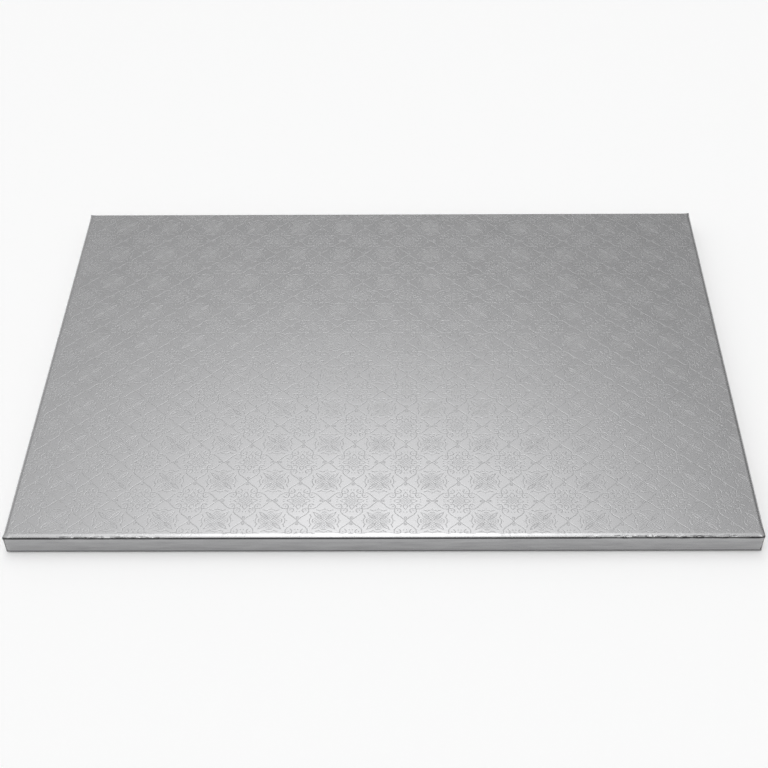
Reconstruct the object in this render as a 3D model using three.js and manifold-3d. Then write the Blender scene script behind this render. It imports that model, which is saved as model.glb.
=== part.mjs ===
// A foil-covered cake board: a rigid pulpboard slab wrapped in one sheet of embossed foil paper,
// with a white paper glued under it. Millimetres, +Z up, X along the board, Y from front to back.
// The origin is the middle of the underside.
import * as THREE from 'three';
import { mergeVertices } from 'three/addons/utils/BufferGeometryUtils.js';
import Module from 'manifold-3d';

const wasm = await Module();
wasm.setup();

// The finished board, outside the foil
const boardWidth = 355.6;
const boardDepth = 254;
const boardHeight = 11.1;

// Papers
const foilPaper = 0.15; // the foil with its backing paper, laid flat
const embossDepth = 0.25; // how far the pressed pattern sinks
const turnUnder = 22; // width of foil glued under the slab
const basePaper = 0.15;
const basePaperInset = 6; // bare foil left all round the base paper
const basePaperCorner = 2;

// Edges of the wrapped slab
const topEdgeRadius = 1.9;
const bottomEdgeRadius = 0.8;
const cornerRadius = 0.8;
const seamWidth = 0.3; // the mitred joint under each corner
const arcSteps = 5;

// The pressed pattern: pointed medallions on a square grid, a rosette in each space between them
const motifPitch = 25.5;
const motifStart = { x: -40.1, y: -2.2 }; // the middle of one medallion
const motifTurn = THREE.MathUtils.degToRad(-0.32); // the sheet went on slightly askew
const medallionTip = 12.2;
const medallionShoulder = { along: 8.8, across: 4.7 };
const medallionWaist = 5.1;
const rosetteRadius = 6.9;
const rosettePetals = 8;
const fieldMargin = 0.6; // plain strip between the pattern and the rolled edge

// Where the foil crumpled along the front top edge, from the left end of the board
const crumpleZones = [
  { start: 22, end: 78, strength: 0.8 },
  { start: 274, end: 347, strength: 1 },
];
const crumpleDepth = 0.3;
const crumplePitch = 3.4;
const crumpleFade = 9; // length over which a crumpled stretch dies away

// The sheet is thicker over its pressed relief than laid flat
const foilCaliper = foilPaper + embossDepth;

const finishes = {
  foil: { color: '#c3c5c8', roughness: 0.3, metalness: 1 },
  pulpboard: { color: '#9b9083', roughness: 0.9, metalness: 0 },
  whitePaper: { color: '#f1efe9', roughness: 0.85, metalness: 0 },
};

function toSolid(geometry) {
  geometry.deleteAttribute('normal');
  geometry.deleteAttribute('uv');
  const merged = mergeVertices(geometry, 1e-4);
  const mesh = new wasm.Mesh({
    numProp: 3,
    vertProperties: new Float32Array(merged.attributes.position.array),
    triVerts: new Uint32Array(merged.index.array),
  });
  return new wasm.Manifold(mesh);
}

function toMesh(name, solid, finish) {
  const { vertProperties, triVerts } = solid.getMesh();
  const geometry = new THREE.BufferGeometry();
  geometry.setAttribute('position', new THREE.BufferAttribute(vertProperties, 3));
  geometry.setIndex(new THREE.BufferAttribute(triVerts, 1));
  geometry.computeVertexNormals();
  const mesh = new THREE.Mesh(geometry, new THREE.MeshStandardMaterial(finish));
  mesh.name = name;
  return mesh;
}

function block(sizeX, sizeY, sizeZ, x, y, z) {
  return toSolid(new THREE.BoxGeometry(sizeX, sizeY, sizeZ).translate(x, y, z));
}

// A section through the board: round at the top edges, tighter at the bottom ones
function sectionShape(halfSpan, bottom, top, topRadius, bottomRadius) {
  const quarter = Math.PI / 2;
  const shape = new THREE.Shape();
  shape.moveTo(-halfSpan + bottomRadius, bottom);
  shape.lineTo(halfSpan - bottomRadius, bottom);
  shape.absarc(halfSpan - bottomRadius, bottom + bottomRadius, bottomRadius, -quarter, 0);
  shape.lineTo(halfSpan, top - topRadius);
  shape.absarc(halfSpan - topRadius, top - topRadius, topRadius, 0, quarter);
  shape.lineTo(-halfSpan + topRadius, top);
  shape.absarc(-halfSpan + topRadius, top - topRadius, topRadius, quarter, 2 * quarter);
  shape.lineTo(-halfSpan, bottom + bottomRadius);
  shape.absarc(-halfSpan + bottomRadius, bottom + bottomRadius, bottomRadius, 2 * quarter, 3 * quarter);
  return shape;
}

function roundedPlan(halfX, halfY, radius) {
  const quarter = Math.PI / 2;
  const shape = new THREE.Shape();
  shape.absarc(halfX - radius, halfY - radius, radius, 0, quarter);
  shape.absarc(-halfX + radius, halfY - radius, radius, quarter, 2 * quarter);
  shape.absarc(-halfX + radius, -halfY + radius, radius, 2 * quarter, 3 * quarter);
  shape.absarc(halfX - radius, -halfY + radius, radius, 3 * quarter, 4 * quarter);
  return shape;
}

// Turns an extrusion so that its outline lies in YZ and its length along X
function layAlongX(geometry) {
  const x = new THREE.Vector3(0, 1, 0);
  const y = new THREE.Vector3(0, 0, 1);
  const z = new THREE.Vector3(1, 0, 0);
  return geometry.applyMatrix4(new THREE.Matrix4().makeBasis(x, y, z));
}

// Repeatable scatter between 0 and 1 for the crumples
function scatter(seed) {
  const value = Math.sin(seed * 12.9898) * 43758.5453;
  return value - Math.floor(value);
}

// The hollow left by one crumpled stretch of the front top roll: its inner side is the roll with each
// point pressed in towards the centre of the roll by its own amount, fading out at the two ends
function crumpleHollow({ start, end, strength }) {
  const centreY = -boardDepth / 2 + topEdgeRadius;
  const centreZ = boardHeight - topEdgeRadius;
  const clear = 1;
  const outside = new THREE.Shape();
  outside.moveTo(centreY - topEdgeRadius - clear, centreZ);
  outside.lineTo(centreY - topEdgeRadius, centreZ);
  outside.absarc(centreY, centreZ, topEdgeRadius, Math.PI, Math.PI / 2, true);
  outside.lineTo(centreY, centreZ + topEdgeRadius + clear);
  outside.lineTo(centreY - topEdgeRadius - clear, centreZ + topEdgeRadius + clear);
  const length = end - start;
  const geometry = layAlongX(new THREE.ExtrudeGeometry(outside, {
    depth: length,
    steps: Math.ceil(length / crumplePitch),
    curveSegments: arcSteps,
    bevelEnabled: false,
  }));
  const position = geometry.attributes.position;
  for (let i = 0; i < position.count; i += 1) {
    const along = position.getX(i);
    const away = centreY - position.getY(i);
    const up = position.getZ(i) - centreZ;
    const onRoll = Math.abs(Math.hypot(away, up) - topEdgeRadius) < 0.01 && away > 0.01 && up > 0.01;
    if (onRoll) {
      const fade = THREE.MathUtils.smoothstep(Math.min(along, length - along), 0, crumpleFade);
      const seed = Math.round((along + start) / crumplePitch) * 7 + Math.round(Math.atan2(up, away) * 10);
      const pressed = 1 - (crumpleDepth * strength * fade * (0.2 + 0.8 * scatter(seed))) / topEdgeRadius;
      position.setY(i, centreY - away * pressed);
      position.setZ(i, centreZ + up * pressed);
    }
  }
  return toSolid(geometry.translate(start - boardWidth / 2, 0, 0));
}

// The wrapped slab as seen from outside, or drawn in by the thickness of the foil
function slabForm(drawnIn, bottom) {
  const halfX = boardWidth / 2 - drawnIn;
  const halfY = boardDepth / 2 - drawnIn;
  const top = boardHeight - drawnIn;
  const least = 0.1;
  const topRadius = Math.max(topEdgeRadius - drawnIn, least);
  const bottomRadius = Math.max(bottomEdgeRadius - drawnIn, least);
  const planRadius = Math.max(cornerRadius - drawnIn, least);

  const sideView = sectionShape(halfY, bottom, top, topRadius, bottomRadius);
  const alongX = layAlongX(new THREE.ExtrudeGeometry(sideView, {
    depth: 2 * halfX,
    curveSegments: arcSteps,
    bevelEnabled: false,
  })).translate(-halfX, 0, 0);

  const frontView = sectionShape(halfX, bottom, top, topRadius, bottomRadius);
  const alongY = new THREE.ExtrudeGeometry(frontView, {
    depth: 2 * halfY,
    curveSegments: arcSteps,
    bevelEnabled: false,
  }).rotateX(Math.PI / 2).translate(0, halfY, 0);

  const plan = roundedPlan(halfX, halfY, planRadius);
  const upright = new THREE.ExtrudeGeometry(plan, {
    depth: boardHeight,
    curveSegments: 3,
    bevelEnabled: false,
  });

  return toSolid(alongX).intersect(toSolid(alongY)).intersect(toSolid(upright));
}

// A shallow pressed hollow: its rim follows the outline at the top face and its middle is the deepest
function pressedHollow(outline) {
  const geometry = new THREE.ConeGeometry(1, embossDepth, outline.length).rotateX(-Math.PI / 2);
  geometry.deleteAttribute('normal');
  geometry.deleteAttribute('uv');
  const cone = mergeVertices(geometry, 1e-4);
  const position = cone.attributes.position;
  const sector = (2 * Math.PI) / outline.length;
  for (let i = 0; i < position.count; i += 1) {
    const x = position.getX(i);
    const y = position.getY(i);
    if (Math.hypot(x, y) > 0.5) {
      const turn = (Math.atan2(y, x) + 2 * Math.PI) / sector;
      const corner = outline[Math.round(turn) % outline.length];
      position.setXY(i, corner.x, corner.y);
    }
  }
  return cone.translate(0, 0, boardHeight - embossDepth / 2);
}

function medallionOutline() {
  const { along, across } = medallionShoulder;
  const quarter = [
    new THREE.Vector2(medallionTip, 0),
    new THREE.Vector2(along, across),
    new THREE.Vector2(medallionWaist, medallionWaist),
    new THREE.Vector2(across, along),
  ];
  const outline = [];
  for (let turn = 0; turn < 4; turn += 1) {
    for (const corner of quarter) {
      outline.push(corner.clone().rotateAround(new THREE.Vector2(), (turn * Math.PI) / 2));
    }
  }
  return outline;
}

function rosetteOutline() {
  const outline = [];
  for (let petal = 0; petal < rosettePetals; petal += 1) {
    const angle = (2 * Math.PI * petal) / rosettePetals;
    outline.push(new THREE.Vector2(Math.cos(angle), Math.sin(angle)).multiplyScalar(rosetteRadius));
  }
  return outline;
}

// The same hollow at every place of its grid, cut off where the pattern field ends
function pressedGrid(outline, offset, field) {
  const reachX = Math.ceil((boardWidth / 2 + Math.abs(motifStart.x)) / motifPitch) + 1;
  const reachY = Math.ceil((boardDepth / 2 + Math.abs(motifStart.y)) / motifPitch) + 1;
  const limitX = boardWidth / 2 + medallionTip;
  const limitY = boardDepth / 2 + medallionTip;
  let hollows = null;
  for (let column = -reachX; column <= reachX; column += 1) {
    for (let row = -reachY; row <= reachY; row += 1) {
      const place = new THREE.Vector2(column + offset, row + offset).multiplyScalar(motifPitch);
      place.rotateAround(new THREE.Vector2(), motifTurn).add(motifStart);
      if (Math.abs(place.x) < limitX && Math.abs(place.y) < limitY) {
        const hollow = pressedHollow(outline).rotateZ(motifTurn).translate(place.x, place.y, 0);
        const solid = toSolid(hollow);
        hollows = hollows ? hollows.add(solid) : solid;
      }
    }
  }
  return hollows.intersect(field);
}

// At each corner the front and back edges are wrapped round first. The end flap lies over them and
// leaves them showing as a triangle, one paper lower, below a fold that runs down at 45 degrees.
function cornerTuck(sideX, sideY) {
  const leg = boardHeight - topEdgeRadius - basePaper;
  const spare = 1;
  const triangle = new THREE.Shape();
  triangle.moveTo(-spare, basePaper - spare);
  triangle.lineTo(leg + spare, basePaper - spare);
  triangle.lineTo(-spare, basePaper + leg + spare);
  const prism = layAlongX(new THREE.ExtrudeGeometry(triangle, {
    depth: foilPaper + spare,
    bevelEnabled: false,
  }));
  const rightFront = toSolid(prism.translate(boardWidth / 2 - foilPaper, -boardDepth / 2, 0));
  const right = sideY < 0 ? rightFront : rightFront.mirror([0, 1, 0]);
  return sideX > 0 ? right : right.mirror([1, 0, 0]);
}

// Underneath, the turned-in edges meet in a mitred joint at each corner
function mitreSeam(sideX, sideY) {
  const length = turnUnder * Math.SQRT2 + 4 * seamWidth;
  const seam = new THREE.BoxGeometry(length, seamWidth, 2 * foilPaper);
  seam.rotateZ((Math.PI / 4) * sideX * sideY);
  const inward = turnUnder / 2;
  return toSolid(seam.translate(
    sideX * (boardWidth / 2 - inward),
    sideY * (boardDepth / 2 - inward),
    basePaper,
  ));
}

function flapWindow(bottom, height) {
  const spanX = boardWidth - 2 * turnUnder;
  const spanY = boardDepth - 2 * turnUnder;
  return block(spanX, spanY, height, 0, 0, bottom + height / 2);
}

function makeFoilWrap() {
  const fieldX = boardWidth - 2 * (topEdgeRadius + fieldMargin);
  const fieldY = boardDepth - 2 * (topEdgeRadius + fieldMargin);
  const field = block(fieldX, fieldY, boardHeight, 0, 0, boardHeight);
  const slabBottom = basePaper + foilCaliper;
  let foil = slabForm(0, basePaper).subtract(slabForm(foilCaliper, slabBottom));
  for (const zone of crumpleZones) {
    foil = foil.subtract(crumpleHollow(zone));
  }
  foil = foil.subtract(flapWindow(basePaper - 1, foilCaliper + 2));
  foil = foil.subtract(pressedGrid(medallionOutline(), 0, field));
  foil = foil.subtract(pressedGrid(rosetteOutline(), 0.5, field));
  for (const sideX of [-1, 1]) {
    for (const sideY of [-1, 1]) {
      foil = foil.subtract(cornerTuck(sideX, sideY)).subtract(mitreSeam(sideX, sideY));
    }
  }
  return toMesh('foil_wrap', foil, finishes.foil);
}

// The slab fills the wrap, and the turned-in edges are pressed flush into its underside
function makeCoreBoard() {
  const slabBottom = basePaper + foilCaliper;
  const slab = slabForm(foilCaliper, slabBottom);
  return toMesh('core_board', slab.add(flapWindow(basePaper, foilCaliper)), finishes.pulpboard);
}

function makeBasePaper() {
  const plan = roundedPlan(boardWidth / 2 - basePaperInset, boardDepth / 2 - basePaperInset, basePaperCorner);
  const sheet = new THREE.ExtrudeGeometry(plan, {
    depth: basePaper,
    curveSegments: 4,
    bevelEnabled: false,
  });
  return toMesh('base_paper', toSolid(sheet), finishes.whitePaper);
}

const cakeBoard = new THREE.Group();
cakeBoard.add(makeFoilWrap(), makeCoreBoard(), makeBasePaper());

export default cakeBoard;
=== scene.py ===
import math
import random

import bmesh
import bpy
from mathutils import Matrix, Vector
from mathutils.geometry import delaunay_2d_cdt


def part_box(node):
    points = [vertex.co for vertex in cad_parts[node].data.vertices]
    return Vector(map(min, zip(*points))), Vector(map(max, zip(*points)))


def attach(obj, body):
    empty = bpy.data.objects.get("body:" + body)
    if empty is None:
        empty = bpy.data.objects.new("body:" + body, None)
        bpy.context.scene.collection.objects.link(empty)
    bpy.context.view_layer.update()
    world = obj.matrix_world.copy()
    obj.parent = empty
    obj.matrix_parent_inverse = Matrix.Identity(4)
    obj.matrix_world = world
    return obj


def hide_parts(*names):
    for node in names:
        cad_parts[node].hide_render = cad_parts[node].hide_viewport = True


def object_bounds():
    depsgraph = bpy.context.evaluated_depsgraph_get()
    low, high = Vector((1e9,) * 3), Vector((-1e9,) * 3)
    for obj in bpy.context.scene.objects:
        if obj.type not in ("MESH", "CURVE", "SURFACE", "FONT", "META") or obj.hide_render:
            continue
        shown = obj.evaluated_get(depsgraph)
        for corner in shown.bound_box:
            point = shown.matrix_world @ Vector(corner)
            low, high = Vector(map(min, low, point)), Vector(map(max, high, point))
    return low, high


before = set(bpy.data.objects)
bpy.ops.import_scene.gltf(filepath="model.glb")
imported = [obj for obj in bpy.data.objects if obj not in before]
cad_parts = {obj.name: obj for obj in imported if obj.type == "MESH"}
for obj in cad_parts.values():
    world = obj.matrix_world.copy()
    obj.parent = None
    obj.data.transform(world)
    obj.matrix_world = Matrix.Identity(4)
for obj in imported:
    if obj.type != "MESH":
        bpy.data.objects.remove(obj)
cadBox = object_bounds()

mm = 0.001
halfWidth = cadBox[1][0] / mm
halfDepth = cadBox[1][1] / mm
boardTop = cadBox[1][2] / mm
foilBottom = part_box("foil_wrap")[0][2] / mm  # the turned edges lie on the base paper
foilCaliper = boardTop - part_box("core_board")[1][2] / mm  # the sheet over its relief


def hexColor(text):
    channels = [int(text[i:i + 2], 16) / 255 for i in (1, 3, 5)]
    return [c / 12.92 if c <= 0.04045 else ((c + 0.055) / 1.055) ** 2.4 for c in channels] + [1.0]


# Settings that name a socket, or give its number, fill the socket. The others set the node itself.
# In a map range, sockets 1 and 2 are where it starts and ends, and 3 and 4 are what it gives there.
def addNode(tree, kind, settings=None, links=None):
    node = tree.nodes.new(kind)
    for name, value in (settings or {}).items():
        if isinstance(name, int) or name in node.inputs:
            node.inputs[name].default_value = value
        else:
            setattr(node, name, value)
    for name, source in (links or {}).items():
        tree.links.new(source, node.inputs[name])
    return node


def newMaterial(name):
    material = bpy.data.materials.new(name)
    material.use_nodes = True
    material.node_tree.nodes.clear()
    return material, material.node_tree


def linkObject(name, data):
    made = bpy.data.objects.new(name, data)
    bpy.context.scene.collection.objects.link(made)
    return made


# Camera: above the front edge, a little right of the middle and turned to the left
cameraSettings = {
    "lens": 67.518,
    "place": (0.0151, -0.5707, 0.5179),
    "pitchDown": 42.757,
    "turn": 0.565,
    "roll": -0.524,
    "shiftX": -0.0272,
    "farthest": 1000,
}


def makeCamera(settings):
    camera = linkObject("camera", bpy.data.cameras.new("camera"))
    camera.data.lens = settings["lens"]
    camera.data.shift_x = settings["shiftX"]
    camera.data.clip_end = settings["farthest"]
    turn = Matrix.Rotation(math.radians(settings["turn"]), 4, "Z")
    tilt = Matrix.Rotation(math.radians(90 - settings["pitchDown"]), 4, "X")
    roll = Matrix.Rotation(math.radians(settings["roll"]), 4, "Z")
    camera.matrix_world = Matrix.Translation(settings["place"]) @ turn @ tilt @ roll
    bpy.context.scene.camera = camera


makeCamera(cameraSettings)
print("camera made")


# Foil wrap: one sheet of embossed foil paper over the top, the sides and the rim of the underside.
# The pressed scrollwork is the same eight times over in each motif, so only one eighth is drawn:
# the wedge from the middle of a medallion (0, 0) to its tip (half a pitch, 0) and to the rosette's middle.
# All lengths are millimetres.
foilWrap = {
    "pitch": 25.5,
    "start": (-40.1, -2.2),  # the middle of one medallion
    "turn": -0.32,
    "lineDepth": 0.022,
    "leastPressed": 0.02,  # share of the line depth that still counts
    "topRadius": 1.9,
    "bottomRadius": 0.8,
    "bottomSteps": 3,
    "rimSpacing": 1.1,
    "rollSteps": 6,
    "rollSweep": 70,  # degrees; the roll meets the wall in a crease
    "wallShares": (0.5, 1.0),
    "turnUnder": 22,
    "innerWall": 10,
    "innerRoll": 2,
    "outerRings": 6,  # the wall's, the bottom roll's and the turned edge's
    "sunkOnRoll": 0.5,  # how much of the pressing is left where the sheet is drawn over the edge
    "pressedOnRoll": 0.6,
    "foldDrop": 0.15,  # the end flap lies one paper above the tucked corner
    "foldWidth": 0.15,
    "foldShare": 0.9,
    "foldReach": 14,
    "seamLift": 0.1,
    "seamReach": 0.02,
    "seamSpare": 2,
    "cornerReach": 2.2,
    "cornerLift": 0.65,
    "edgeReach": 0.2,
    "blunt": 0.12,
    "rightBlunt": 0.55,
    "bluntAtTop": 0.3,
    "weld": 0.01,
    "mirrorWeld": 0.002,
    "cutWeld": 0.001,
    "foldWeld": 0.0005,
    "slitWeld": 0.05,
    "ringReach": 0.005,
    "strokes": [
        # the medallion's outline, from its tip inward
        {"width": 0.62, "points": [
            (13.0, -0.25), (11.9, 0.55), (10.4, 2.0), (8.8, 3.95), (7.2, 5.15), (4.9, 5.1), (4.3, 4.8)]},
        # the curl that it ends in
        {"width": 0.66, "points": [
            (5.05, 5.9), (4.9, 4.9), (4.7, 3.6), (5.3, 2.25), (6.4, 2.0), (7.5, 2.85)]},
        # the bud in the medallion
        {"width": 0.5, "points": [(2.3, -0.5), (2.75, 0.75), (3.6, 1.2), (4.7, 0.65), (6.0, -0.3)]},
        # the bracket round the rosette
        {"width": 0.55, "points": [(13.2, 5.65), (11.5, 5.9), (10.3, 6.75)]},
        # the rosette's petal
        {"width": 0.5, "points": [(7.4, 7.4), (9.2, 8.2), (10.8, 9.9), (12.0, 12.2)]},
    ],
}

# Two stretches of the front edge where the foil bunched as it was drawn over: millimetres from the left
crumpling = {
    "depth": 0.29,
    "step": 1.15,
    "stepSpread": (0.6, 1.4),
    "seed": 5,
    "seedStep": 7919,
    "rowSeed": 9,
    "longCrease": {"spacing": 2.9, "share": 0.55},
    "shortCrease": {"spacing": 1.15, "share": 0.45},
    "swing": 1.7,
    "rest": 0.35,
    "firstRow": 1 / 3,  # share of the roll that stays smooth
    "rowPower": 1.5,
    "stretches": [
        {"start": 22, "end": 80, "fade": 8, "strength": 0.8},
        {"start": 272, "end": 348, "fade": 6, "strength": 1.0},
    ],
}


def nearestOnLine(point, a, b):
    along = b - a
    share = max(0.0, min(1.0, (point - a).dot(along) / along.length_squared))
    return (point - a - along * share).length


# The press leaves a V-shaped line, deepest in its middle
def pressedDepth(point, settings):
    depth = 0.0
    for stroke in settings["strokes"]:
        half = stroke["width"] / 2
        points = [Vector(p) for p in stroke["points"]]
        reach = min(nearestOnLine(point, a, b) for a, b in zip(points, points[1:]))
        depth = max(depth, 1 - reach / half)
    return settings["lineDepth"] * depth if depth > settings["leastPressed"] else 0.0


# One pressed line: its middle and its two sides, closed by a point at each end
def strokeEdges(stroke, verts, edges):
    points = [Vector(p) for p in stroke["points"]]
    half = stroke["width"] / 2
    lines = [[], [], []]
    for i, point in enumerate(points):
        before = points[max(i - 1, 0)]
        after = points[min(i + 1, len(points) - 1)]
        way = (after - before).normalized()
        side = Vector((-way.y, way.x)) * half
        for line, offset in zip(lines, (side, Vector((0, 0)), -side)):
            line.append(len(verts))
            verts.append(point + offset)
    for line in lines:
        edges.extend(zip(line, line[1:]))
    for end, inner in ((0, 1), (-1, -2)):
        cap = len(verts)
        way = (points[end] - points[inner]).normalized()
        verts.append(points[end] + way * half)
        edges.extend([(lines[0][end], cap), (cap, lines[2][end])])


# The wedge is triangulated round its strokes, for the lines cross freely
def drawWedge(settings):
    half = settings["pitch"] / 2
    verts = [Vector((0, 0)), Vector((half, 0)), Vector((half, half))]
    edges = [(0, 1), (1, 2), (2, 0)]
    for stroke in settings["strokes"]:
        strokeEdges(stroke, verts, edges)
    flat, _, faces, *_ = delaunay_2d_cdt(verts, edges, [], 0, settings["weld"])
    bm = bmesh.new()
    pressed = bm.verts.layers.float.new("pressed")
    placed = [bm.verts.new((p.x, p.y, -pressedDepth(p, settings))) for p in flat]
    for v in placed:
        v[pressed] = -v.co.z / settings["lineDepth"]
    for face in faces:
        middle = sum((flat[i] for i in face), Vector((0, 0))) / len(face)
        if 0 < middle.y < middle.x < half:
            bm.faces.new([placed[i] for i in face])
    bmesh.ops.delete(bm, geom=[v for v in bm.verts if not v.link_faces], context="VERTS")
    return bm


def everything(bm):
    return bm.verts[:] + bm.edges[:] + bm.faces[:]


def partsOf(faces):
    return list({part for f in faces for part in (f, *f.edges, *f.verts)})


def mirrorOver(bm, axis, weld):
    bmesh.ops.mirror(bm, geom=everything(bm), matrix=Matrix.Identity(4), merge_dist=weld, axis=axis)


# The wedge is mirrored over its diagonal, and the quarter over both axes
def drawMotif(settings):
    weld = settings["mirrorWeld"]
    bm = drawWedge(settings)
    toDiagonal = Matrix.Rotation(math.radians(45), 4, "Z")
    bmesh.ops.transform(bm, matrix=toDiagonal.inverted(), verts=bm.verts[:])
    mirrorOver(bm, "Y", weld)
    bmesh.ops.transform(bm, matrix=toDiagonal, verts=bm.verts[:])
    mirrorOver(bm, "X", weld)
    mirrorOver(bm, "Y", weld)
    return bm


def repeatAlong(bm, step, first, last):
    one = bpy.data.meshes.new("repeat")
    bm.to_mesh(one)
    bm.clear()
    count = len(one.vertices)
    for place in range(first, last + 1):
        bm.from_mesh(one)
        bm.verts.ensure_lookup_table()
        bmesh.ops.translate(bm, vec=step * place, verts=bm.verts[-count:])
    bpy.data.meshes.remove(one)


# The rolled edges need fewer points than the lines that end at the rim
def thinRim(bm, settings):
    surplus = []
    for axis, half in ((0, halfWidth), (1, halfDepth)):
        along = 1 - axis
        edge = half - settings["topRadius"]
        for side in (-1, 1):
            rim = [v for v in bm.verts if abs(v.co[axis] * side - edge) < settings["mirrorWeld"]]
            rim.sort(key=lambda v: v.co[along])
            kept, last = rim[0].co[along], rim[-1].co[along]
            for v in rim[1:-1]:
                if min(v.co[along] - kept, last - v.co[along]) < settings["rimSpacing"]:
                    surplus.append(v)
                else:
                    kept = v.co[along]
    bmesh.ops.dissolve_verts(bm, verts=surplus)


# The motif is repeated past the edges, turned a little as the sheet lay, and cut off where the roll starts
def drawTopPanel(settings):
    pitch = settings["pitch"]
    startX, startY = settings["start"]
    bm = drawMotif(settings)
    columns = [int((side * halfWidth - startX) / pitch + side) for side in (-1, 1)]
    rows = [int((side * halfDepth - startY) / pitch + side) for side in (-1, 1)]
    repeatAlong(bm, Vector((pitch, 0, 0)), *columns)
    repeatAlong(bm, Vector((0, pitch, 0)), *rows)
    bmesh.ops.remove_doubles(bm, verts=bm.verts[:], dist=settings["weld"])
    turn = Matrix.Rotation(math.radians(settings["turn"]), 4, "Z")
    bmesh.ops.transform(bm, matrix=Matrix.Translation((startX, startY, boardTop)) @ turn, verts=bm.verts[:])
    for side in (-1, 1):
        for axis, half in ((0, halfWidth), (1, halfDepth)):
            normal = Vector((0, 0, 0))
            normal[axis] = side
            cut = normal * (half - settings["topRadius"])
            bmesh.ops.bisect_plane(bm, geom=everything(bm), dist=settings["cutWeld"], plane_co=cut,
                                   plane_no=normal, clear_outer=True)
    thinRim(bm, settings)
    return bm


# How far out, how high and how far along the sheet each ring lies, from the top panel's rim on:
# down the roll and the wall, round the bottom edge, under the board, and back inside to close the shell
def wrapProfile(settings):
    top, bottom, under = settings["topRadius"], settings["bottomRadius"], settings["turnUnder"]
    sweep = math.radians(settings["rollSweep"])
    roll = top / math.sin(sweep)
    profile = []
    for i in range(1, settings["rollSteps"] + 1):
        angle = sweep * i / settings["rollSteps"]
        profile.append((roll * math.sin(angle), boardTop - roll * (1 - math.cos(angle)), roll * angle))
    edgeHeight, length = profile[-1][1:]
    wall = edgeHeight - foilBottom - bottom
    for share in settings["wallShares"]:
        profile.append((top, edgeHeight - wall * share, length + wall * share))
    length = profile[-1][2]
    for i in range(1, settings["bottomSteps"] + 1):
        angle = math.radians(90 / settings["bottomSteps"] * i)
        inward, down = bottom * (1 - math.cos(angle)), bottom * (1 - math.sin(angle))
        profile.append((top - inward, foilBottom + down, length + bottom * angle))
    length = profile[-1][2]
    inside = foilBottom + foilCaliper
    profile.append((top - under, foilBottom, length + under - bottom))
    length = profile[-1][2]
    profile.append((top - under, inside, length + foilCaliper))
    length += under
    profile.append((top - foilCaliper, inside, length))
    length += settings["innerWall"]
    profile.append((top - foilCaliper, boardTop - top, length))
    profile.append((0, boardTop - foilCaliper, length + settings["innerRoll"]))
    return profile


# Each ring is extruded from the last. "sheet" keeps where a point lies on the flat sheet, and in z
# how far it is drawn over the edge: 1 is the end of the roll. "ring" keeps the ring's number.
def wrapSides(bm, settings):
    sheet = bm.verts.layers.float_vector.new("sheet")
    ring = bm.verts.layers.float.new("ring")
    pressed = bm.verts.layers.float["pressed"]
    for v in bm.verts:
        v[sheet] = (v.co.x, v.co.y, 0)
    edges = [e for e in bm.edges if e.is_boundary]
    reachX, reachY = halfWidth - settings["topRadius"], halfDepth - settings["topRadius"]
    lastOut, lastLength = 0.0, 0.0
    for number, (out, height, length) in enumerate(wrapProfile(settings), 1):
        grown = bmesh.ops.extrude_edge_only(bm, edges=edges)["geom"]
        edges = [g for g in grown if isinstance(g, bmesh.types.BMEdge) and g.is_boundary]
        for v in (g for g in grown if isinstance(g, bmesh.types.BMVert)):
            flat = Vector(v[sheet])
            for axis, reach in ((0, reachX), (1, reachY)):
                if abs(v.co[axis]) > reach + lastOut - settings["ringReach"]:
                    flat[axis] += math.copysign(length - lastLength, v.co[axis])
                v.co[axis] *= (reach + out) / (reach + lastOut)
            sunk = v.co.z - boardTop if number == 1 else 0
            v.co.z = height + sunk * settings["sunkOnRoll"]
            v[pressed] *= settings["pressedOnRoll"]
            flat.z = number / settings["rollSteps"]
            v[sheet] = flat
            v[ring] = number
        lastOut, lastLength = out, length
    bmesh.ops.edgeloop_fill(bm, edges=edges)


# A cut leaves the shape as it is and gives it an edge to fold along
def cutAcross(bm, geom, point, normal, weld):
    cut = bmesh.ops.bisect_plane(bm, geom=geom, dist=weld, plane_co=point, plane_no=normal)
    return list(set(cut["geom"]) | {part for part in geom if part.is_valid})


def cutPoints(geom):
    return {part for part in geom if part.is_valid and isinstance(part, bmesh.types.BMVert)}


# Random heights at even stations, and straight lines between them
def scatterBetween(position, spacing, seed, crumples):
    station = math.floor(position / spacing)
    low = random.Random(seed * crumples["seedStep"] + station).random()
    high = random.Random(seed * crumples["seedStep"] + station + 1).random()
    return low + (high - low) * (position / spacing - station)


# The bunched stretches of the front roll get edges at uneven steps, for the creases to stand on
def slitRoll(bm, settings, crumples):
    front = -halfDepth + settings["topRadius"]
    low = boardTop - 2 * settings["topRadius"]
    geom = partsOf([
        f for f in bm.faces
        if f.calc_center_median().y < front and f.calc_center_median().z > low and f.normal.z > -0.5])
    chance = random.Random(crumples["seed"])
    for stretch in crumples["stretches"]:
        place = stretch["start"]
        while place < stretch["end"]:
            geom = cutAcross(bm, geom, (place - halfWidth, 0, 0), (1, 0, 0), settings["slitWeld"])
            place += crumples["step"] * chance.uniform(*crumples["stepSpread"])


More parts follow.
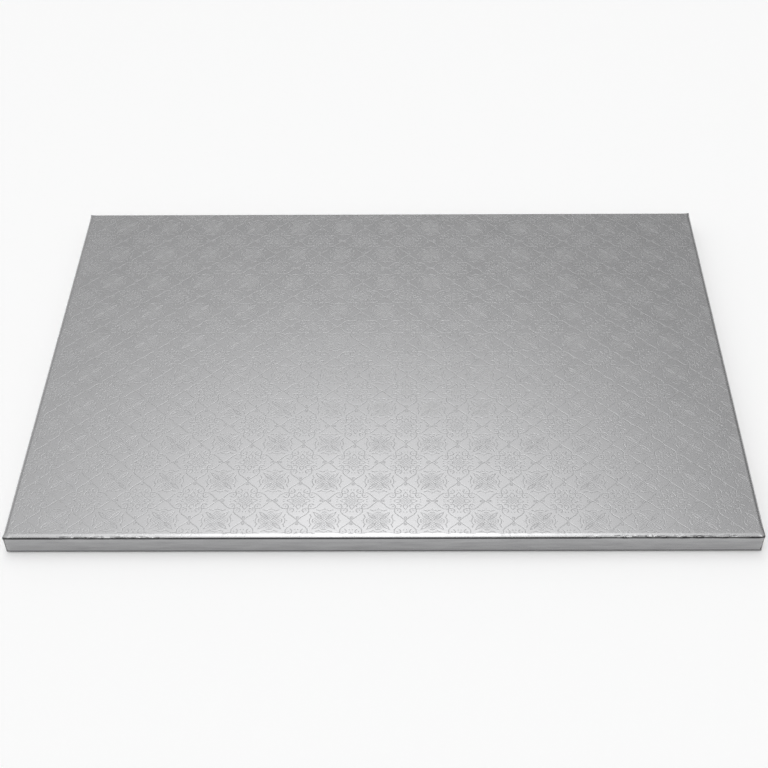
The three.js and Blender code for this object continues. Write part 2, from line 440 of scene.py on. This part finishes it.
def crumpleRoll(bm, settings, crumples):
    ring = bm.verts.layers.float["ring"]
    top, steps = settings["topRadius"], settings["rollSteps"]
    long, short = crumples["longCrease"], crumples["shortCrease"]
    for v in bm.verts:
        if not steps * crumples["firstRow"] < v[ring] <= steps or v.co.y > -halfDepth + top:
            continue
        fromLeft = v.co.x + halfWidth
        strength = 0.0
        for stretch in crumples["stretches"]:
            inside = min(fromLeft - stretch["start"], stretch["end"] - fromLeft)
            strength = max(strength, stretch["strength"] * max(0.0, min(1.0, inside / stretch["fade"])))
        if strength <= 0:
            continue
        row = round(v[ring])
        wave = scatterBetween(fromLeft, long["spacing"], row, crumples) * long["share"]
        ripple = scatterBetween(fromLeft, short["spacing"], row + crumples["rowSeed"], crumples)
        wave += ripple * short["share"]
        share = (row / steps) ** crumples["rowPower"]
        press = crumples["depth"] * strength * share * (wave * crumples["swing"] - crumples["rest"])
        away = Vector((0, -halfDepth + top - v.co.y, v.co.z - boardTop + top))
        out = away.normalized() * -press
        v.co.y -= out.y
        v.co.z += out.z


def everyCorner():
    return [(sideX, sideY) for sideX in (-1, 1) for sideY in (-1, 1)]


# On the short sides the end flap is folded over the tucked corner along a 45 degree line
def tuckCorners(bm, settings):
    level = boardTop - settings["topRadius"]
    outside = halfWidth - settings["bottomRadius"] - settings["weld"]
    for sideX, sideY in everyCorner():
        near = [f for f in bm.faces if all(
            v.co.x * sideX > outside and halfDepth - v.co.y * sideY < settings["foldReach"] for v in f.verts)]
        geom = partsOf(near)
        corner = Vector((sideX * halfWidth, sideY * halfDepth, level))
        normal = Vector((0, sideY, -1)).normalized()
        for shift in (0, settings["foldWidth"]):
            geom = cutAcross(bm, geom, corner + normal * shift, normal, settings["foldWeld"])
        for v in cutPoints(geom):
            below = (v.co - corner).dot(normal)
            if below > settings["foldWidth"] * settings["foldShare"] and foilBottom < v.co.z:
                v.co.x = sideX * min(v.co.x * sideX, halfWidth - settings["foldDrop"])


# Underneath, the turned edges meet in a seam at each corner
def pressMitres(bm, settings):
    reach = settings["turnUnder"] + settings["seamSpare"]
    for sideX, sideY in everyCorner():
        near = [f for f in bm.faces if all(
            abs(v.co.z - foilBottom) < settings["weld"] and halfWidth - v.co.x * sideX < reach
            and halfDepth - v.co.y * sideY < reach for v in f.verts)]
        geom = partsOf(near)
        corner = Vector((sideX * halfWidth, sideY * halfDepth, 0))
        normal = Vector((sideX, -sideY, 0)).normalized()
        for shift in (-settings["foldWidth"], settings["foldWidth"]):
            geom = cutAcross(bm, geom, corner + normal * shift, normal, settings["foldWeld"])
        for v in cutPoints(geom):
            if abs((v.co - corner).dot(normal)) < settings["seamReach"]:
                v.co.z += settings["seamLift"]


# The roll stays higher at the corners, where four layers of foil meet, and the upright edges are blunted
def shapeCorners(bm, settings):
    ring = bm.verts.layers.float["ring"]
    reach = settings["cornerReach"]
    for v in bm.verts:
        away = max(halfWidth - abs(v.co.x), halfDepth - abs(v.co.y))
        if v.co.z > boardTop / 2 and 0 < v[ring] <= settings["rollSteps"] and away < reach:
            v.co.z += (boardTop - v.co.z) * settings["cornerLift"] * (1 - away / reach)
        if away < settings["edgeReach"]:
            blunt = settings["rightBlunt"] if v.co.x > 0 and v.co.y < 0 else settings["blunt"]
            inward = blunt * (settings["bluntAtTop"] + 1 - v.co.z / boardTop)
            v.co.x -= math.copysign(inward, v.co.x)
            v.co.y -= math.copysign(inward, v.co.y)


# The rolled and flat outsides are smooth. The pressed panel, the creases and the fold stay sharp.
def shadeFoil(bm, settings, crumples):
    ring = bm.verts.layers.float["ring"]
    steps = settings["rollSteps"]
    for face in bm.faces:
        rings = [round(v[ring]) for v in face.verts]
        middle = face.calc_center_median()
        bunched = any(s["start"] < middle.x + halfWidth < s["end"] for s in crumples["stretches"])
        crumpled = bunched and middle.y < -halfDepth + settings["topRadius"] and min(rings) < steps
        face.smooth = 0 < max(rings) <= steps + settings["outerRings"] and not crumpled
    for edge in bm.edges:
        if all(round(v[ring]) == steps for v in edge.verts):
            edge.smooth = False


# Nothing of the foil stands out of the board's own outline
def keepInOutline(bm):
    for v in bm.verts:
        v.co.x = max(-halfWidth, min(halfWidth, v.co.x))
        v.co.y = max(-halfDepth, min(halfDepth, v.co.y))


def shapeFoil(settings, crumples):
    bm = drawTopPanel(settings)
    wrapSides(bm, settings)
    slitRoll(bm, settings, crumples)
    crumpleRoll(bm, settings, crumples)
    shadeFoil(bm, settings, crumples)
    tuckCorners(bm, settings)
    pressMitres(bm, settings)
    shapeCorners(bm, settings)
    keepInOutline(bm)
    bmesh.ops.recalc_face_normals(bm, faces=bm.faces[:])
    print("foil:", sum(len(f.verts) - 2 for f in bm.faces), "triangles,",
          len([e for e in bm.edges if not e.is_manifold]), "open edges")
    bmesh.ops.scale(bm, vec=(mm, mm, mm), verts=bm.verts[:])
    mesh = bpy.data.meshes.new("foil_sheet")
    bm.to_mesh(mesh)
    bm.free()
    return linkObject("foil_sheet", mesh)


# Aluminium foil laminated on paper and pressed between steel rollers: a bright metal face, softened
# to a satin by the paper's own grain. Lengths are millimetres on the flat sheet.
foilFinish = {
    "silver": "#b5b5b6",
    "pressedShadeSilver": "#a8a8a9",  # painted shade: the pressed lines are coloured darker than the face
    "shadeAndStreakSilver": "#3c3c3d",  # painted shade along the fold at the top of the walls and round the bottom edge; the same colour darkens the wall streaks
    "roughness": 0.24,
    "pressedRoughness": 0.5,
    "pressedShare": 0.75,
    "grain": 0.35,  # between the paper's hills
    "grainHeight": 0.002,
    "fineHeight": 0.014,
    "fineWidth": 0.42,
    "hatchPitch": 1.5,  # coarser than the real hatching, so that it shows
    "hatchShare": 0.6,
    "hatchLine": (0.08, 0.4),
    "hatchFade": 2.5,
    "hatched": [((12.75, 12.75), 6.3), ((0.0, 0.0), 4.0)],  # middle and radius of each hatched patch
    "fineSegments": [
        ((3.0, 1.9), (2.4, 2.6)), ((3.9, 2.3), (3.0, 1.9)),
        ((7.0, 0.7), (7.2, 0.7)), ((10.2, 0.0), (10.4, 0.5)), ((10.4, 0.5), (11.4, 0.3)),
        ((12.75, 4.95), (12.76, 4.95)), ((11.8, 7.4), (12.75, 7.2)), ((12.75, 8.4), (12.76, 8.4)),
        ((8.9, 5.9), (10.2, 6.4)), ((5.8, 3.6), (6.1, 3.8)),
    ],
    "foldStart": (0.8, 0.93),  # the bands of painted shade, by how far the sheet is drawn over the edge
    "foldEnd": (1.01, 1.035),
    "bottomStart": (1.3, 1.33),
    "bottomEnd": 1.835,
    "bottomShare": 0.85,
    "wallStart": (0.9, 1.1),
    "wallShare": 0.45,
    "streaks": (0.06, 0.06, 14),  # faint darker streaks run along the walls
    "wear": 0.02,
    "wearScale": 0.05,
}


def makeFoilPaper(finish, layout):
    material, tree = newMaterial("aluminium foil laminated paper")
    soft = {"interpolation_type": "SMOOTHSTEP"}

    # where in the wedge of the motif each point of the sheet lies
    sheet = addNode(tree, "ShaderNodeAttribute", {"attribute_name": "sheet"}).outputs["Vector"]
    turn = Matrix.Rotation(math.radians(-layout["turn"]), 3, "Z")
    toMotif = addNode(tree, "ShaderNodeMapping", {
        "Rotation": (0, 0, math.radians(-layout["turn"])),
        "Location": -(turn @ Vector((*layout["start"], 0))),
    }, {"Vector": sheet})
    motif = addNode(tree, "ShaderNodeSeparateXYZ", links={0: toMotif.outputs[0]})
    fold = {"operation": "PINGPONG", 1: layout["pitch"] / 2}
    foldX = addNode(tree, "ShaderNodeMath", fold, {0: motif.outputs[0]}).outputs[0]
    foldY = addNode(tree, "ShaderNodeMath", fold, {0: motif.outputs[1]}).outputs[0]
    larger = addNode(tree, "ShaderNodeMath", {"operation": "MAXIMUM"}, {0: foldX, 1: foldY}).outputs[0]
    smaller = addNode(tree, "ShaderNodeMath", {"operation": "MINIMUM"}, {0: foldX, 1: foldY}).outputs[0]
    wedge = addNode(tree, "ShaderNodeCombineXYZ", links={0: larger, 1: smaller}).outputs[0]

    # the small lines, by the distance to the nearest of them
    farthest = addNode(tree, "ShaderNodeValue")
    farthest.outputs[0].default_value = layout["pitch"]
    nearest = farthest.outputs[0]
    for a, b in finish["fineSegments"]:
        start, along = Vector((*a, 0)), Vector((b[0] - a[0], b[1] - a[1], 0))
        away = addNode(tree, "ShaderNodeVectorMath", {"operation": "SUBTRACT", 1: start}, {0: wedge})
        share = addNode(tree, "ShaderNodeVectorMath", {
            "operation": "DOT_PRODUCT", 1: along / along.length_squared}, {0: away.outputs[0]})
        held = addNode(tree, "ShaderNodeClamp", links={0: share.outputs["Value"]})
        foot = addNode(tree, "ShaderNodeVectorMath", {"operation": "SCALE", 0: along}, {
            "Scale": held.outputs[0]})
        reach = addNode(tree, "ShaderNodeVectorMath", {"operation": "DISTANCE"}, {
            0: away.outputs[0], 1: foot.outputs[0]})
        nearest = addNode(tree, "ShaderNodeMath", {"operation": "MINIMUM"}, {
            0: reach.outputs["Value"], 1: nearest}).outputs[0]
    fine = addNode(tree, "ShaderNodeMapRange", {
        **soft, 1: 0.0, 2: finish["fineWidth"], 3: 1.0, 4: 0.0}, {0: nearest}).outputs[0]

    # crossed hatching in the middle of the medallions and the rosettes
    lineStart, lineEnd = finish["hatchLine"]
    for way in ("ADD", "SUBTRACT"):
        across = addNode(tree, "ShaderNodeMath", {"operation": way}, {0: larger, 1: smaller})
        stripe = addNode(tree, "ShaderNodeMath", {"operation": "PINGPONG", 1: finish["hatchPitch"] / 2}, {
            0: across.outputs[0]})
        line = addNode(tree, "ShaderNodeMapRange", {
            **soft, 1: lineStart, 2: lineEnd, 3: finish["hatchShare"], 4: 0.0}, {0: stripe.outputs[0]})
        for middle, radius in finish["hatched"]:
            off = addNode(tree, "ShaderNodeVectorMath", {"operation": "DISTANCE", 1: (*middle, 0)}, {
                0: wedge})
            inside = addNode(tree, "ShaderNodeMapRange", {
                **soft, 1: radius - finish["hatchFade"], 2: radius, 3: 1.0, 4: 0.0}, {
                0: off.outputs["Value"]})
            patch = addNode(tree, "ShaderNodeMath", {"operation": "MULTIPLY"}, {
                0: line.outputs[0], 1: inside.outputs[0]})
            fine = addNode(tree, "ShaderNodeMath", {"operation": "MAXIMUM"}, {
                0: fine, 1: patch.outputs[0]}).outputs[0]

    # the small lines are ironed out where the sheet is drawn over the edge
    drawn = addNode(tree, "ShaderNodeSeparateXYZ", links={0: sheet}).outputs[2]
    flat = addNode(tree, "ShaderNodeMath", {"operation": "SUBTRACT", "use_clamp": True, 0: 1.0}, {1: drawn})
    fine = addNode(tree, "ShaderNodeMath", {"operation": "MULTIPLY"}, {
        0: fine, 1: flat.outputs[0]}).outputs[0]

    # painted shade in bands along the fold and round the bottom edge, and faint darker streaks down the walls
    before = addNode(tree, "ShaderNodeMapRange", dict(zip((1, 2), finish["foldStart"])), {0: drawn})
    after = addNode(tree, "ShaderNodeMapRange", {**dict(zip((1, 2), finish["foldEnd"])), 3: 1.0, 4: 0.0}, {
        0: drawn})
    atFold = addNode(tree, "ShaderNodeMath", {"operation": "MULTIPLY"}, {
        0: before.outputs[0], 1: after.outputs[0]})
    turned = addNode(tree, "ShaderNodeMapRange", {
        **dict(zip((1, 2), finish["bottomStart"])), 4: finish["bottomShare"]}, {0: drawn})
    above = addNode(tree, "ShaderNodeMath", {"operation": "LESS_THAN", 1: finish["bottomEnd"]}, {0: drawn})
    atBottom = addNode(tree, "ShaderNodeMath", {"operation": "MULTIPLY"}, {
        0: turned.outputs[0], 1: above.outputs[0]})
    shadeBands = addNode(tree, "ShaderNodeMath", {"operation": "MAXIMUM"}, {
        0: atFold.outputs[0], 1: atBottom.outputs[0]})
    stretched = addNode(tree, "ShaderNodeVectorMath", {"operation": "MULTIPLY", 1: finish["streaks"]}, {
        0: sheet})
    streaks = addNode(tree, "ShaderNodeTexNoise", {"Scale": 1.0, "Detail": 3.0}, {
        "Vector": stretched.outputs[0]})
    walls = addNode(tree, "ShaderNodeMapRange", {
        **dict(zip((1, 2), finish["wallStart"])), 4: finish["wallShare"]}, {0: drawn})
    # the walls are darkened in faint streaks
    wallStreaks = addNode(tree, "ShaderNodeMath", {"operation": "MULTIPLY"}, {
        0: walls.outputs[0], 1: streaks.outputs["Fac"]})
    shadeAndStreaks = addNode(tree, "ShaderNodeMath", {"operation": "MAXIMUM"}, {
        0: shadeBands.outputs[0], 1: wallStreaks.outputs[0]})

    # pressed lines are rougher than the face, and painted darker as shade
    pressed = addNode(tree, "ShaderNodeAttribute", {"attribute_name": "pressed"})
    lines = addNode(tree, "ShaderNodeMath", {"operation": "MAXIMUM"}, {0: pressed.outputs["Fac"], 1: fine})
    dullAndPaintedShade = addNode(tree, "ShaderNodeMath", {
        "operation": "MULTIPLY", "use_clamp": True, 1: finish["pressedShare"]}, {
        0: lines.outputs[0]}).outputs[0]

    grain = addNode(tree, "ShaderNodeTexNoise", {"Scale": 1 / finish["grain"], "Detail": 2.0}, {
        "Vector": sheet})
    sunk = addNode(tree, "ShaderNodeMath", {"operation": "MULTIPLY", 1: -finish["fineHeight"]}, {0: fine})
    relief = addNode(tree, "ShaderNodeMath", {"operation": "MULTIPLY_ADD", 1: finish["grainHeight"]}, {
        0: grain.outputs["Fac"], 2: sunk.outputs[0]})
    bump = addNode(tree, "ShaderNodeBump", {"Distance": mm, "Strength": 1.0}, {"Height": relief.outputs[0]})
    wear = addNode(tree, "ShaderNodeTexNoise", {"Scale": finish["wearScale"], "Detail": 3.0}, {
        "Vector": sheet})
    worn = addNode(tree, "ShaderNodeMapRange", {
        1: 0.3, 2: 0.7, 3: -finish["wear"], 4: finish["wear"]}, {0: wear.outputs["Fac"]})
    satin = addNode(tree, "ShaderNodeMapRange", {3: finish["roughness"], 4: finish["pressedRoughness"]}, {
        0: dullAndPaintedShade})
    rough = addNode(tree, "ShaderNodeMath", {"operation": "ADD"}, {0: satin.outputs[0], 1: worn.outputs[0]})
    # painted shade: the pressed and fine lines are mixed towards a darker silver
    face = addNode(tree, "ShaderNodeMixRGB", {
        1: hexColor(finish["silver"]), 2: hexColor(finish["pressedShadeSilver"])}, {0: dullAndPaintedShade})
    # painted shade at the fold and the bottom edge, and the wall streaks, mixed towards a dark silver
    tint = addNode(tree, "ShaderNodeMixRGB", {2: hexColor(finish["shadeAndStreakSilver"])}, {
        0: shadeAndStreaks.outputs[0], 1: face.outputs[0]})
    shader = addNode(tree, "ShaderNodeBsdfPrincipled", {"Metallic": 1.0}, {
        "Base Color": tint.outputs[0], "Roughness": rough.outputs[0], "Normal": bump.outputs[0]})
    addNode(tree, "ShaderNodeOutputMaterial", links={"Surface": shader.outputs[0]})
    return material


foilSheet = shapeFoil(foilWrap, crumpling)
foilSheet.data.materials.append(makeFoilPaper(foilFinish, foilWrap))
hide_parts("foil_wrap")
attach(foilSheet, "root")
print("foil wrap made")


# Base paper: uncoated white paper, calendered flat. It is matt and a little mottled, and the edge of the
# turned foil shows through it.
basePaper = {
    "white": "#f3f1ec",
    "mottled": "#e6e3db",
    "roughness": 0.85,
    "gloss": 0.3,
    "fibre": 0.6,
    "fibreHeight": 0.02,
    "foilEdge": 0.12,
    "edgeSpread": 1.5,
}


def makeWhitePaper(finish, layout):
    material, tree = newMaterial("uncoated white paper")
    place = addNode(tree, "ShaderNodeTexCoord").outputs["Object"]
    sized = addNode(tree, "ShaderNodeVectorMath", {"operation": "SCALE", "Scale": 1 / mm}, {
        0: place}).outputs[0]
    fibre = addNode(tree, "ShaderNodeTexNoise", {"Scale": 1 / finish["fibre"], "Detail": 4.0}, {
        "Vector": sized})
    across = addNode(tree, "ShaderNodeVectorMath", {"operation": "ABSOLUTE"}, {0: sized})
    window = Vector((halfWidth - layout["turnUnder"], halfDepth - layout["turnUnder"], 0))
    past = addNode(tree, "ShaderNodeVectorMath", {"operation": "SUBTRACT", 1: window}, {0: across.outputs[0]})
    sides = addNode(tree, "ShaderNodeSeparateXYZ", links={0: past.outputs[0]})
    outer = addNode(tree, "ShaderNodeMath", {"operation": "MAXIMUM"}, {
        0: sides.outputs[0], 1: sides.outputs[1]})
    edge = addNode(tree, "ShaderNodeMapRange", {
        "interpolation_type": "SMOOTHSTEP", 1: -finish["edgeSpread"], 2: 0.0, 3: 0.0, 4: finish["foilEdge"],
    }, {0: outer.outputs[0]})
    relief = addNode(tree, "ShaderNodeMath", {"operation": "MULTIPLY_ADD", 1: finish["fibreHeight"]}, {
        0: fibre.outputs["Fac"], 2: edge.outputs[0]})
    bump = addNode(tree, "ShaderNodeBump", {"Distance": mm, "Strength": 1.0}, {"Height": relief.outputs[0]})
    tint = addNode(tree, "ShaderNodeMixRGB", {
        1: hexColor(finish["white"]), 2: hexColor(finish["mottled"])}, {0: fibre.outputs["Fac"]})
    shader = addNode(tree, "ShaderNodeBsdfPrincipled", {
        "Roughness": finish["roughness"], "Specular IOR Level": finish["gloss"],
    }, {"Base Color": tint.outputs[0], "Normal": bump.outputs[0]})
    addNode(tree, "ShaderNodeOutputMaterial", links={"Surface": shader.outputs[0]})
    return material


# Core board: grey pulpboard, pressed in layers from waste paper. It is matt, with flecks of fibre and faint
# lines between the layers.
coreBoard = {
    "grey": "#9b9083",
    "fleck": "#756a5e",
    "roughness": 0.9,
    "fleckSize": 1.2,
    "layer": 0.9,
    "layerDepth": 0.1,
    "bandScale": 0.31,  # at this scale a wave texture repeats once a unit
}


def makePulpboard(finish):
    material, tree = newMaterial("grey pulpboard")
    place = addNode(tree, "ShaderNodeTexCoord").outputs["Object"]
    sized = addNode(tree, "ShaderNodeVectorMath", {"operation": "SCALE", "Scale": 1 / mm}, {
        0: place}).outputs[0]
    fleck = addNode(tree, "ShaderNodeTexNoise", {
        "Scale": 1 / finish["fleckSize"], "Detail": 5.0}, {"Vector": sized})
    layers = addNode(tree, "ShaderNodeTexWave", {
        "bands_direction": "Z", "Scale": finish["bandScale"] / finish["layer"], "Distortion": 1.0,
    }, {"Vector": sized})
    tint = addNode(tree, "ShaderNodeMixRGB", {
        1: hexColor(finish["grey"]), 2: hexColor(finish["fleck"])}, {0: fleck.outputs["Fac"]})
    bump = addNode(tree, "ShaderNodeBump", {
        "Distance": finish["layerDepth"] * mm, "Strength": 1.0}, {"Height": layers.outputs["Fac"]})
    shader = addNode(tree, "ShaderNodeBsdfPrincipled", {"Roughness": finish["roughness"]}, {
        "Base Color": tint.outputs[0], "Normal": bump.outputs[0]})
    addNode(tree, "ShaderNodeOutputMaterial", links={"Surface": shader.outputs[0]})
    return material


def giveMaterial(node, material):
    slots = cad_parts[node].material_slots
    for slot in slots:
        slot.material = material
    if not slots:
        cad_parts[node].data.materials.append(material)


giveMaterial("base_paper", makeWhitePaper(basePaper, foilWrap))
giveMaterial("core_board", makePulpboard(coreBoard))
print("papers made")


# Studio: a pale floor, a soft lamp, and a soft room with a bright band overhead and a dark end behind the
# camera
studio = {
    "floorSize": 400,
    "floorDrop": 0.3,  # millimetres below the base paper
    "floorColor": "#e9e9e9",
    "floorGlow": 0.18,
    "wall": 0.58,
    "ceiling": 0.96,
    "ceilingRise": (0.5, 0.9),
    "leftBias": 0.45,
    "dark": 0.22,
    "darkEnd": (-0.96, -0.8),
    "box": 2.75,
    "boxMiddle": -0.025,
    "boxHalf": 0.25,
    "boxEnd": (0.62, 0.75),
    "lamp": {"name": "softbox", "place": (-0.06, -0.2, 1.6), "size": (0.45, 1.5), "power": 2.1},
}


def makeFloor(settings):
    bm = bmesh.new()
    bmesh.ops.create_grid(bm, x_segments=1, y_segments=1, size=settings["floorSize"])
    mesh = bpy.data.meshes.new("floor")
    bm.to_mesh(mesh)
    bm.free()
    floor = linkObject("floor", mesh)
    floor.location.z = -settings["floorDrop"] * mm
    material, tree = newMaterial("matt white studio floor")
    rays = addNode(tree, "ShaderNodeLightPath").outputs
    both = {"operation": "ADD", "use_clamp": True}
    seen = addNode(tree, "ShaderNodeMath", both, {0: rays["Is Camera Ray"], 1: rays["Is Glossy Ray"]})
    seen = addNode(tree, "ShaderNodeMath", both, {0: seen.outputs[0], 1: rays["Is Transmission Ray"]})
    glow = addNode(tree, "ShaderNodeMath", {"operation": "MULTIPLY", 1: settings["floorGlow"]}, {
        0: seen.outputs[0]})
    shader = addNode(tree, "ShaderNodeBsdfPrincipled", {
        "Base Color": hexColor(settings["floorColor"]), "Roughness": 1.0, "Specular IOR Level": 0.0,
        "Emission Color": (1, 1, 1, 1),
    }, {"Emission Strength": glow.outputs[0]})
    addNode(tree, "ShaderNodeOutputMaterial", links={"Surface": shader.outputs[0]})
    mesh.materials.append(material)


def makeRoom(settings):
    world = bpy.data.worlds.new("studio room")
    world.use_nodes = True
    bpy.context.scene.world = world
    tree = world.node_tree
    tree.nodes.clear()
    place = addNode(tree, "ShaderNodeTexCoord")
    x, y, z = addNode(tree, "ShaderNodeSeparateXYZ", links={0: place.outputs["Generated"]}).outputs
    soft = {"interpolation_type": "SMOOTHSTEP"}
    rise = addNode(tree, "ShaderNodeMapRange", {
        **soft, **dict(zip((1, 2), settings["ceilingRise"])), 3: settings["wall"], 4: settings["ceiling"]}, {
        0: z})
    lean = addNode(tree, "ShaderNodeMath", {"operation": "MULTIPLY_ADD", 1: -settings["leftBias"], 2: 1.0}, {
        0: x})
    room = addNode(tree, "ShaderNodeMath", {"operation": "MULTIPLY"}, {
        0: rise.outputs[0], 1: lean.outputs[0]})
    offset = addNode(tree, "ShaderNodeMath", {"operation": "SUBTRACT", 1: settings["boxMiddle"]}, {0: x})
    away = addNode(tree, "ShaderNodeMath", {"operation": "ABSOLUTE"}, {0: offset.outputs[0]})
    across = addNode(tree, "ShaderNodeMapRange", {
        **soft, 1: 0.0, 2: settings["boxHalf"], 3: settings["box"], 4: 0.0}, {0: away.outputs[0]})
    along = addNode(tree, "ShaderNodeMapRange", {
        **soft, **dict(zip((1, 2), settings["boxEnd"])), 3: 1.0, 4: 0.0}, {0: y})
    lit = addNode(tree, "ShaderNodeMath", {"operation": "MULTIPLY_ADD"}, {
        0: across.outputs[0], 1: along.outputs[0], 2: room.outputs[0]})
    behind = addNode(tree, "ShaderNodeMapRange", {
        **soft, **dict(zip((1, 2), settings["darkEnd"])), 3: settings["dark"], 4: 1.0}, {0: y})
    strength = addNode(tree, "ShaderNodeMath", {"operation": "MULTIPLY"}, {
        0: lit.outputs[0], 1: behind.outputs[0]})
    light = addNode(tree, "ShaderNodeBackground", links={"Strength": strength.outputs[0]})
    addNode(tree, "ShaderNodeOutputWorld", links={"Surface": light.outputs[0]})


def makeLamp(lamp):
    light = bpy.data.lights.new(lamp["name"], "AREA")
    light.shape = "RECTANGLE"
    light.size, light.size_y = lamp["size"]
    light.energy = lamp["power"]
    made = linkObject(lamp["name"], light)
    made.matrix_world = Matrix.Translation(lamp["place"])


makeFloor(studio)
makeRoom(studio)
makeLamp(studio["lamp"])
bpy.context.scene.view_settings.view_transform = "Standard"
print("studio made")
